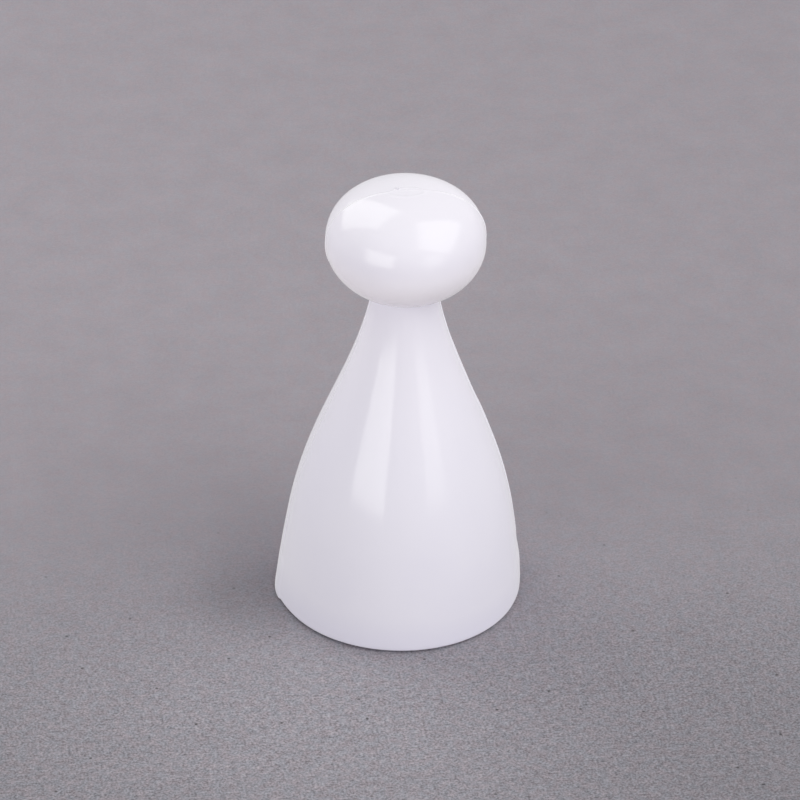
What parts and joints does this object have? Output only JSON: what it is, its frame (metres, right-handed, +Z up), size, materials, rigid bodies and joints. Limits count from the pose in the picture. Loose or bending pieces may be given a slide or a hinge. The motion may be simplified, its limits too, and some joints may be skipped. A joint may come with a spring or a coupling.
{
  "type": "game pawn",
  "caption": "Plastic game pawn: flattened round head on a narrow neck and a flared hollow body with a flat foot rim, in halves joined by pegs on an upright seam.",
  "frame": {"origin": "centre of the foot, on the surface that the pawn stands on", "axes": "+Z up along the pawn's axis to the crown, the seam in the XZ plane, -Y towards the middle of the front half"},
  "size_m": [0.0136, 0.013, 0.025],
  "materials": {
    "white_plastic": "glossy moulded white with a faint cool tint"
  },
  "bodies": {
    "root": {"front_half_shell": "white_plastic", "rear_half_shell": "white_plastic"}
  },
  "joints": []
}
